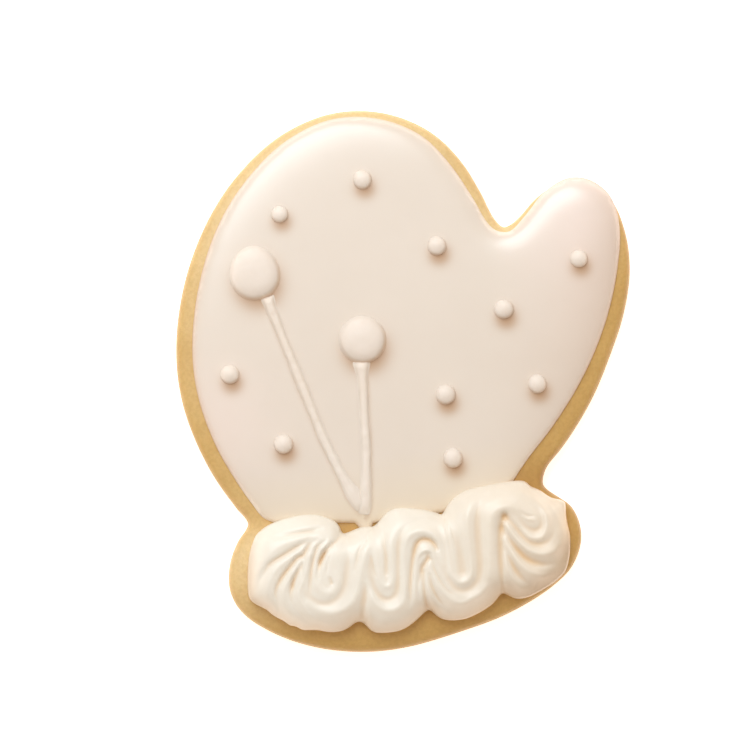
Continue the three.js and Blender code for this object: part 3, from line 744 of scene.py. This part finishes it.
        [0.7, [[15.3, -28.2, -0.15], [16.2, -29.6, -0.35], [17.2, -30.9, -0.45], [18.5, -31.5, -0.5],
            [19.6, -30.9, -0.45], [20, -29.5, -0.35], [19.5, -28, -0.3], [18.2, -26.9, -0.25],
            [16.6, -26.3, -0.1]]],
        [0.3, [[16.6, -28, -0.1], [17.4, -28.7, -0.3], [18.4, -28.9, -0.1]]],
        [0.35, [[16.8, -28.7, 0.1], [17.8, -29.4, 0.3], [18.9, -29.7, 0.1]]],
        [0.8, [[13, -29.2, 0.3], [13.7, -30.6, 0.6], [14.6, -32.3, 0.75], [15.8, -33.9, 0.8],
            [17.3, -35.2, 0.9], [19, -35.9, 0.95], [21, -35.8, 0.95], [22.6, -34.9, 0.9],
            [23.6, -33.3, 0.65], [23.8, -31.4, 0.4], [23.4, -29.3, 0.25], [22.5, -27.5, 0.2]]],
        [0.8, [[12.9, -30.3, -0.5], [13.4, -31.8, -0.8], [14.1, -33.3, -0.95], [15, -34.9, -1.05],
            [16.1, -36.3, -1.05], [17.6, -37.4, -1], [19.6, -38, -0.9], [21.8, -37.8, -0.7],
            [23.3, -36.8, -0.4]]],
        [0.72, [[12.6, -31.4, 0.2], [13.1, -33.2, 0.5], [13.8, -35.1, 0.7], [14.8, -37, 0.85],
            [16.1, -38.6, 0.9], [17.7, -39.8, 0.85], [19.4, -40.2, 0.6], [21, -40.1, 0.2]]],
        [0.7, [[12.6, -33.4, -0.3], [13, -35.3, -0.55], [13.5, -37.1, -0.7], [14.2, -38.8, -0.8],
            [15.3, -40.4, -0.75], [16.8, -41.6, -0.4]]],
        [0.5, [[12.4, -34.8, 0.1], [12.6, -36.7, 0.3], [13, -38.7, 0.4], [13.6, -40.5, 0.5],
            [14.4, -41.8, 0.35]]],
        [0.35, [[21.2, -25.8, -0.05], [22.2, -27, -0.2], [23.1, -28.6, -0.2], [23.6, -30.3, -0.05]]],
    ],
}


# How much the folds lift or sink each point. A fold is felt as far as three times its width.
def foldLift(points, batch=4000):
    lift = np.zeros(len(points))
    for width, keys in cuffLook["folds"]:
        line = smoothLine(keys, cuffLook["foldStep"])
        reach = 3 * width
        low, high = line[:, :2].min(0) - reach, line[:, :2].max(0) + reach
        near = np.nonzero(((points > low) & (points < high)).all(1))[0]
        for part in np.array_split(near, max(1, len(near) // batch)):
            gap = ((points[part][:, None] - line[None, :, :2]) ** 2).sum(2)
            closest = gap.argmin(1)
            lift[part] += line[closest, 2] * np.exp(-gap.min(1) / width ** 2)
    return lift


# Height of the bare mound over the biscuit, before its folds.
def mound(distance, ground):
    look = cuffLook
    share = np.clip(distance / look["shoulder"], 0, 1)
    swell = np.sqrt(1 - (1 - share) ** 2)
    return ground + (flatTop - ground) * swell + look["wall"] + (look["height"] - look["wall"]) * swell


# Evens out values over a mesh, holding the first ones fixed.
def evened(values, faces, held, passes):
    mean = neighbourMean(edgePairs(faces), len(values))
    for _ in range(passes):
        values = np.concatenate([values[:held], mean(values)[held:]])
    return values


def cuffShape():
    look = cuffLook
    ring = roundedRing(np.array(look["outline"], float), look["outlineSpacing"])
    size, normal = len(ring), inwards(ring)
    browRings = [ring + normal * inset for inset in look["brow"]]
    top, topFaces = filledRing(browRings[-1], look["spacing"])
    plan = np.vstack([*browRings[:-1], top])
    ground = bakedTopUnder(plan)
    distance = distanceTo(ring, plan)
    heights = mound(distance, ground)
    topStart = size * (len(browRings) - 1)
    heights[topStart:] = evened(heights[topStart:], topFaces, size, look["evenings"])
    fade = np.clip(distance / look["fade"], 0, 1)
    heights += look["relief"] * foldLift(plan) * fade * (2 - fade)
    upper = withHeight(plan, heights)
    foot = [withHeight(ring + normal * inset, ground[:size] + z) for inset, z in look["foot"]]
    under, underFaces = filledRing(foot[0][:, :2], look["underSpacing"])
    under = withHeight(under, flatTop + look["underside"])
    under[:size] = foot[0]
    brow = np.split(upper[:topStart], len(browRings) - 1)
    return closedShape(under, underFaces, [*foot[1:], *brow], upper[topStart:], topFaces)


# How far each corner lies in a hollow, as a share of a depth, from where its neighbours lie.
def hollowness(piece, passes, depth):
    corners = readCorners(piece, "co") / mm
    pairs = np.zeros(len(piece.data.edges) * 2, np.int32)
    piece.data.edges.foreach_get("vertices", pairs)
    mean = neighbourMean(pairs.reshape(-1, 2), len(corners))
    smooth = corners
    for _ in range(passes):
        smooth = np.stack([mean(column) for column in smooth.T], 1)
    return np.clip(((smooth - corners) * readCorners(piece, "normal")).sum(1) / depth, 0, 1)


def tintCuff(cuff):
    look = cuffLook
    corners = readCorners(cuff, "co") / mm
    x, y, z = corners.T
    fromRim = distanceTo(roundedRing(np.array(look["outline"], float), look["rimSpacing"]), corners[:, :2])

    # painted shade: deeper in the hollows, to the right, down at the foot and along the near rim
    rightward = eased(x, *look["rightward"])
    left, right = look["hollowShare"]
    paintedShade = hollowness(cuff, look["hollowPasses"], look["hollowDepth"]) * (left + (right - left) * rightward)
    foot = look["lowShare"] * eased(z, flatTop + look["lowHeight"], flatTop)
    wide, thin = (share * bell(fromRim, width) for share, width in look["nearRim"])
    rim = eased(y, *look["nearSide"]) * (wide + thin * rightward)
    tint = paintedShade + look["rightShare"] * rightward + rim + foot
    addTint(cuff, "paintedShade", np.clip(tint, 0, 1))

    # painted shade on the flank that turns away from the light: below the whole cuff, most at the swirl, and
    # at the fan's start
    below, swirl, fan = look["flankBelow"], look["flankSwirl"], look["flankFan"]
    share = below["share"] * eased(x, *below["x"]) + swirl["share"] * eased(x, *swirl["x"])
    paintedFlankShade = share * eased(y, *below["y"]) * bell(fromRim, below["width"])
    paintedFlankShade += fan["share"] * eased(x, *fan["x"]) * bell(fromRim, fan["width"])
    addTint(cuff, "paintedFlankShade", np.clip(paintedFlankShade, 0, 1))


corners, faces = cuffShape()
stiffIcing = pipedFinish("stiffIcing", cuffLook)
cuff = makePiece("ruffledCuff", corners, faces, stiffIcing, "piped_cuff")
tintCuff(cuff)
print("ruffled cuff:", len(corners), "corners,", len(faces), "faces")


# Buttons and dots.

# What all the drops of icing share.
dropLook = {
    "body": linear(245, 232, 219),
    "tints": {"paintedShade": linear(236, 201, 168)},
    "roughness": 0.55,
    "scatter": 0.2,
    "profileStep": 0.035,
    "root": -0.3,
    # how uneven a drop is above its foot: share of its size, then height, each with the noise's scale
    "sway": (0.008, 0.35),
    "dents": (0.05, 0.6),
    "footHeight": 0.6,
    # painted shade: it is painted warmer and darker low down and on the side away from the light
    "warmHeight": 1.1,
    "warmAway": (0.7, -1.4),
    "warmStart": 0.2,
}

# A profile runs from a drop's middle outwards, in shares of its radius and of its height.
buttonLook = {
    "profile": [[0, 1], [0.2, 0.99], [0.4, 0.955], [0.58, 0.89], [0.72, 0.8], [0.84, 0.67],
                [0.92, 0.53], [0.975, 0.36], [1.02, 0.18], [1.06, 0.04], [1.1, -0.07]],
    "around": 72,
    "warmest": 0.75,
    "seeds": {"left": 30, "right": 33},
    "left": {"at": (-26.1, 22.6), "size": (8.8, 9.4), "height": 2.15, "egg": 0.06},
    "right": {"at": (-8.1, 7.65), "size": (8.25, 8.25), "height": 2.1, "egg": 0.01},
}
dotLook = {
    "profile": [[0, 1], [0.25, 0.965], [0.46, 0.885], [0.64, 0.775], [0.79, 0.64], [0.89, 0.5],
                [0.955, 0.36], [1.0, 0.2], [1.04, 0.06], [1.08, -0.08]],
    "around": 48,
    "warmest": 0.4,
    "firstSeed": 53,
    "height": 0.42,  # share of its size
    "width": (0.95, 0.02),  # share of its size, and how much that varies
    # centre and size
    "places": [
        ((-4, 36.9), 3.5),
        ((-20, 32.7), 3.2),
        ((7.9, 22.9), 3.6),
        ((33.5, 16.9), 3.3),
        ((18.5, 9.6), 3.7),
        ((-33.2, 4.7), 3.5),
        ((5.7, -4.5), 3.7),
        ((22.7, -4.9), 3.5),
        ((-25.2, -9.4), 3.6),
        ((5.4, -16.3), 3.6),
    ],
}


# A drop of icing squeezed from a plain tip, a little uneven, its foot melting into the flood.
def dropShape(look, at, size, height, egg, seed):
    base = floodTopAt(at)
    around = look["around"]
    outline = smoothLine(look["profile"], dropLook["profileStep"])[1:]
    turns = np.linspace(0, 2 * math.pi, around, endpoint=False)
    narrow = 1 - egg * np.sin(turns)
    rim = np.column_stack([np.cos(turns) * narrow * size[0], np.sin(turns) * size[1]]) / 2
    tilt = np.array([floodTopAt(at + step) for step in rim]) - base
    rings = [
        withHeight(at + rim * spread, base + rise * height + tilt * spread ** 2)
        for spread, rise in outline
    ]
    corners = np.vstack([[[*at, base + height]], *rings, [[*at, base + dropLook["root"]]]])
    faces = [[0, 1 + i, 1 + (i + 1) % around] for i in range(around)]
    faces += [face[::-1] for face in ringFaces(1, around, len(rings))]
    last = 1 + around * (len(rings) - 1)
    faces += [[len(corners) - 1, last + (i + 1) % around, last + i] for i in range(around)]
    above = eased(corners[:, 2], base, base + dropLook["footHeight"])
    (sway, swayScale), (dent, dentScale) = dropLook["sway"], dropLook["dents"]
    corners[:, 0] += above * size[0] * sway * softNoise(corners, swayScale, seed)
    corners[:, 1] += above * size[1] * sway * softNoise(corners, swayScale, seed + 1)
    corners[:, 2] += above * dent * softNoise(corners, dentScale, seed + 2)
    return corners, faces


def makeDrop(name, node, look, at, size, height, egg, seed):
    corners, faces = dropShape(look, at, size, height, egg, seed)
    drop = makePiece(name, corners, faces, dropIcing, node)
    base = floodTopAt(at)
    # painted shade, low down and on the side away from the light
    low = eased(corners[:, 2], base + dropLook["warmHeight"], base)
    away = (corners[:, :2] - at) / size @ dropLook["warmAway"]
    addTint(drop, "paintedShade", low * np.clip(dropLook["warmStart"] + away, 0, look["warmest"]))


dropIcing = pipedFinish("dotIcing", dropLook)
for side in ("left", "right"):
    button = buttonLook[side]
    makeDrop(f"button{side.title()}", f"button_{side}", buttonLook, button["at"], button["size"],
             button["height"], button["egg"], buttonLook["seeds"][side])
for number, (at, size) in enumerate(dotLook["places"], 1):
    share, vary = dotLook["width"]
    diameters = size * (share + vary * rng.standard_normal(2))
    makeDrop(f"dot{number}", f"dot_{number:02d}", dotLook, at, diameters, size * dotLook["height"], 0,
             dotLook["firstSeed"] + 3 * (number - 1))
print("buttons and dots ready")


# Stems.

stemLook = {
    "body": linear(246, 234, 221),
    "tints": {"paintedShade": linear(230, 199, 166)},
    "roughness": 0.5,
    "scatter": 0.2,
    "spacing": 0.22,
    # half of its section, from the foot up: shares of the half width and of the height
    "profile": [[1.45, -0.09], [1.29, 0], [1.17, 0.06], [1.06, 0.17], [0.95, 0.36], [0.81, 0.62],
                [0.61, 0.84], [0.32, 0.96]],
    "root": -0.3,
    "rise": 0.66,
    # how an end closes: over this length, down to these shares of its height and its width
    "closing": {"length": 1.6, "height": 0.1, "width": 0.85},
    # how its width and height waver: share, scale along it and place in the noise
    "widthWaver": (0.14, 0.45, 0),
    "heightWaver": (0.1, 0.7, 5),
    "dents": (0.04, 1.1),
    # painted shade: its foot is painted warmer, mostly along its outer side; its upper end is a little warmer
    # too
    "footAcross": (0.54, 0.96),
    "footShares": {"outer": 0.7, "inner": 0.1},
    "upperEnd": {"share": 0.12, "y": (-14, 0)},
    "seeds": {"left": 70, "right": 71},
    # centre, half width and height along each stem, from its button down
    "left": [[-24.4, 17.9, 1.1, 1.25], [-24, 15.6, 0.85, 1.15], [-23.3, 13, 0.78, 1.0],
             [-22.6, 10, 0.72, 0.95], [-21.85, 7, 0.75, 1.0], [-21.1, 4, 0.8, 1.0],
             [-20.35, 1, 0.88, 1.1], [-19.9, -0.8, 0.84, 1.1], [-19.3, -3.2, 0.78, 0.95],
             [-18.6, -6, 0.75, 0.95], [-17.85, -9, 0.8, 1.0], [-16.9, -12, 0.78, 1.0],
             [-15.95, -15, 0.74, 0.95], [-14.85, -18, 0.9, 0.95], [-14.0, -20, 1.15, 1.0],
             [-13.2, -21.9, 1.1, 1.0], [-12.85, -22.9, 0.95, 0.75], [-12.7, -23.5, 0.75, 0.3]],
    "right": [[-8.85, 3.8, 1.32, 1.3], [-8.95, 2, 1.02, 1.2], [-9.1, 0, 0.85, 1.05],
              [-9.35, -3, 0.77, 1.0], [-9.75, -7, 0.74, 0.95], [-10.05, -10.8, 0.82, 1.05],
              [-10.25, -13, 0.76, 0.95], [-10.6, -15.2, 0.78, 1.0], [-11, -18, 0.86, 1.05],
              [-11.4, -20.2, 0.95, 1.05], [-11.75, -22, 1.05, 1.05], [-12.05, -23.1, 1.05, 0.85],
              [-12.2, -23.9, 0.9, 0.5], [-12.3, -24.4, 0.7, 0.2]],
}


def stemShape(side, seed):
    look, closing = stemLook, stemLook["closing"]
    line = smoothLine(look[side], look["spacing"])
    direction = np.gradient(line[:, :2], axis=0)
    direction /= np.linalg.norm(direction, axis=1, keepdims=True)
    across = np.stack([direction[:, 1], -direction[:, 0]], 1)
    half = np.array(look["profile"])
    section = np.vstack([half, [[0, 1]], half[::-1] * [-1, 1], [[0, look["root"]]]])
    corners = []
    for i, (x, y, width, height) in enumerate(line):
        toEnd = min(i, len(line) - 1 - i) * look["spacing"]
        roundness = 1 - max(0, 1 - toEnd / closing["length"]) ** 2
        closed = math.sqrt(max(closing["height"] ** 2, roundness))
        wider, higher = (
            1 + share * noise.noise(Vector((i * look["spacing"] * scale, seed, place)))
            for share, scale, place in (look["widthWaver"], look["heightWaver"])
        )
        width *= wider * (closing["width"] + (1 - closing["width"]) * closed)
        height *= higher * closed * look["rise"]
        for offset, rise in section:
            place = np.array([x, y]) + across[i] * offset * width
            corners.append([*place, floodTopAt(place) + rise * (height if rise > 0 else 1)])
    size = len(section)
    faces = [face[::-1] for face in ringFaces(0, size, len(line))]
    faces.append(list(range(size)))
    faces.append(list(range(size * len(line) - 1, size * (len(line) - 1) - 1, -1)))
    corners = np.array(corners)
    dent, scale = look["dents"]
    corners[:, 2] += dent * softNoise(corners, scale, seed)
    return corners, faces


# How warm a stem is, most of it painted shade along its foot: outer is the side of its section that faces
# away from the other stem, -1 or 1.
def stemWarmth(corners, outer):
    look, upper = stemLook, stemLook["upperEnd"]
    size = 2 * len(look["profile"]) + 2
    along = np.arange(len(corners)) % size
    across = (along - (size - 2) / 2) / (size / 2 - 1) * outer  # from -1 to 1 over the section
    shares = np.where(across > 0, look["footShares"]["outer"], look["footShares"]["inner"])
    foot = shares * eased(np.abs(across), *look["footAcross"])
    return np.maximum(foot, upper["share"] * eased(corners[:, 1], *upper["y"]))


stemIcing = pipedFinish("stemIcing", stemLook)
for side, outer in (("left", -1), ("right", 1)):
    corners, faces = stemShape(side, stemLook["seeds"][side])
    stem = makePiece(f"stem{side.title()}", corners, faces, stemIcing, f"stem_{side}")
    # painted shade along the stem's foot
    addTint(stem, "paintedShade", stemWarmth(corners, outer))
print("stems ready")


# Where painted shadow falls on the flood: along its edge, below each drop and along the stems.
def paintedShadowOf(points):
    edge, drop, stem = (floodLook[key] for key in ("warmEdge", "warmDrop", "warmStem"))
    warmth = edge["share"] * bell(distanceTo(floodRing, points), edge["width"]) * (1 - unshadedEdge(points))
    buttons = [(buttonLook[side]["at"], buttonLook[side]["size"]) for side in ("left", "right")]
    for at, size in buttons + dotLook["places"]:
        radii = np.ones(2) * size / 2
        shift = np.array(drop["away"]) * min(drop["furthest"], radii[0])
        outside = (np.linalg.norm((points - at - shift) / radii, axis=1) - 1) * radii[0]
        blur = drop["blur"][0] + drop["blur"][1] * radii[0]
        warmth = np.maximum(warmth, drop["share"] * (1 - np.tanh(outside / blur / 2)) / 2)
    for side in ("left", "right"):
        line = smoothLine(stemLook[side], stem["step"])
        gap = points[:, None] - line[None, :, :2]
        closest = (gap ** 2).sum(2).argmin(1)
        gap = gap[np.arange(len(gap)), closest]
        outside = np.maximum(np.linalg.norm(gap, axis=1) - line[closest, 2], 0)
        share = np.where(gap[:, 0] < 0, *stem[side])
        warmth = np.maximum(warmth, share * bell(outside, stem["width"]))
    return warmth


# painted shadow below the drops, along the stems and at the flood's edge
addTint(floodPiece, "paintedShadow", paintedShadowOf(floodPlan))
print("flood icing tinted")


# Floor, light and camera.

stageLook = {
    "floor": {"Base Color": linear(252, 252, 252), "Roughness": 0.9,
              "Emission Color": (1.0, 0.86, 0.74, 1), "Emission Strength": 0.95},
    "floorSize": 4000,
    "floorBumps": [(400, 2, 0.02, 0.1)],
    "key": {"from": (-90, 330, 500), "size": 500, "power": 2.81, "colour": (0.85, 0.928, 1.0)},
    "fill": {"from": (500, -350, 450), "size": 800, "power": 0.15, "colour": (1.0, 0.85, 0.7)},
    "sky": 0.5,
    "skyColour": (1.0, 0.88, 0.77, 1),
}


def makeFloor():
    bpy.ops.mesh.primitive_plane_add(size=stageLook["floorSize"] * mm, location=(0, 0, 0))
    floor = bpy.context.object
    floor.name = "paleFloor"
    finish, tree, shader = newFinish("palePaper", stageLook["floor"])
    addBumps(tree, shader, stageLook["floorBumps"])
    floor.data.materials.append(finish)


def addSoftLight(name, look):
    light = bpy.data.lights.new(name, "AREA")
    light.shape, light.size, light.energy = "DISK", look["size"] * mm, look["power"]
    light.color = look["colour"]
    lamp = bpy.data.objects.new(name, light)
    bpy.context.scene.collection.objects.link(lamp)
    lamp.location = Vector(look["from"]) * mm
    lamp.rotation_euler = (-Vector(look["from"])).to_track_quat("-Z", "Y").to_euler()


def addSky():
    world = bpy.data.worlds.new("studio")
    bpy.context.scene.world = world
    world.use_nodes = True
    background = world.node_tree.nodes["Background"]
    background.inputs["Color"].default_value = stageLook["skyColour"]
    background.inputs["Strength"].default_value = stageLook["sky"]


# Straight down, taking in the width seenWidth at the height seenAt. Roll is in degrees.
cameraLook = {"over": (-6.7, 0.87), "height": 1400, "seenWidth": 138.75, "seenAt": 5, "roll": -8,
              "farthest": 10000}


def addCamera(look):
    lens = bpy.data.cameras.new("camera")
    lens.lens = lens.sensor_width * (look["height"] - look["seenAt"]) / look["seenWidth"]
    lens.clip_end = look["farthest"] * mm
    camera = bpy.data.objects.new("camera", lens)
    bpy.context.scene.collection.objects.link(camera)
    camera.location = Vector((*look["over"], look["height"])) * mm
    camera.rotation_euler = (0, 0, math.radians(look["roll"]))
    bpy.context.scene.camera = camera


makeFloor()
addSoftLight("key", stageLook["key"])
addSoftLight("fill", stageLook["fill"])
addSky()
addCamera(cameraLook)
bpy.context.scene.view_settings.view_transform = "Standard"
print("stage ready")
